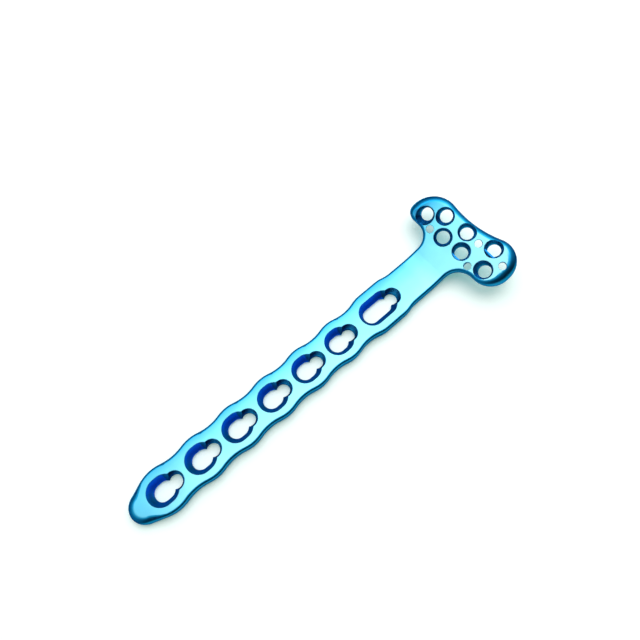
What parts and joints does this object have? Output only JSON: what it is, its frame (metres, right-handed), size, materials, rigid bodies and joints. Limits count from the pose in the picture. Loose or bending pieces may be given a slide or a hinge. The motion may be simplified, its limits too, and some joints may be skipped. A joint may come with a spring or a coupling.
{
  "type": "orthopedic bone plate",
  "caption": "Flat T-shaped bone plate for the palm side of the wrist: tilted head with locking and wire holes, scalloped shaft with combined screw holes and a long slot.",
  "frame": {"origin": "on the bone face of the shaft, on its centre line, in the solid neck between the long slot and the bend", "axes": "+X along the shaft to the head, +Y across the plate to the shorter lobe, +Z away from the bone"},
  "size_m": [0.0933, 0.0263, 0.0083],
  "materials": {
    "anodised_titanium": null
  },
  "bodies": {
    "root": {"bone_plate": "anodised_titanium"}
  },
  "joints": []
}
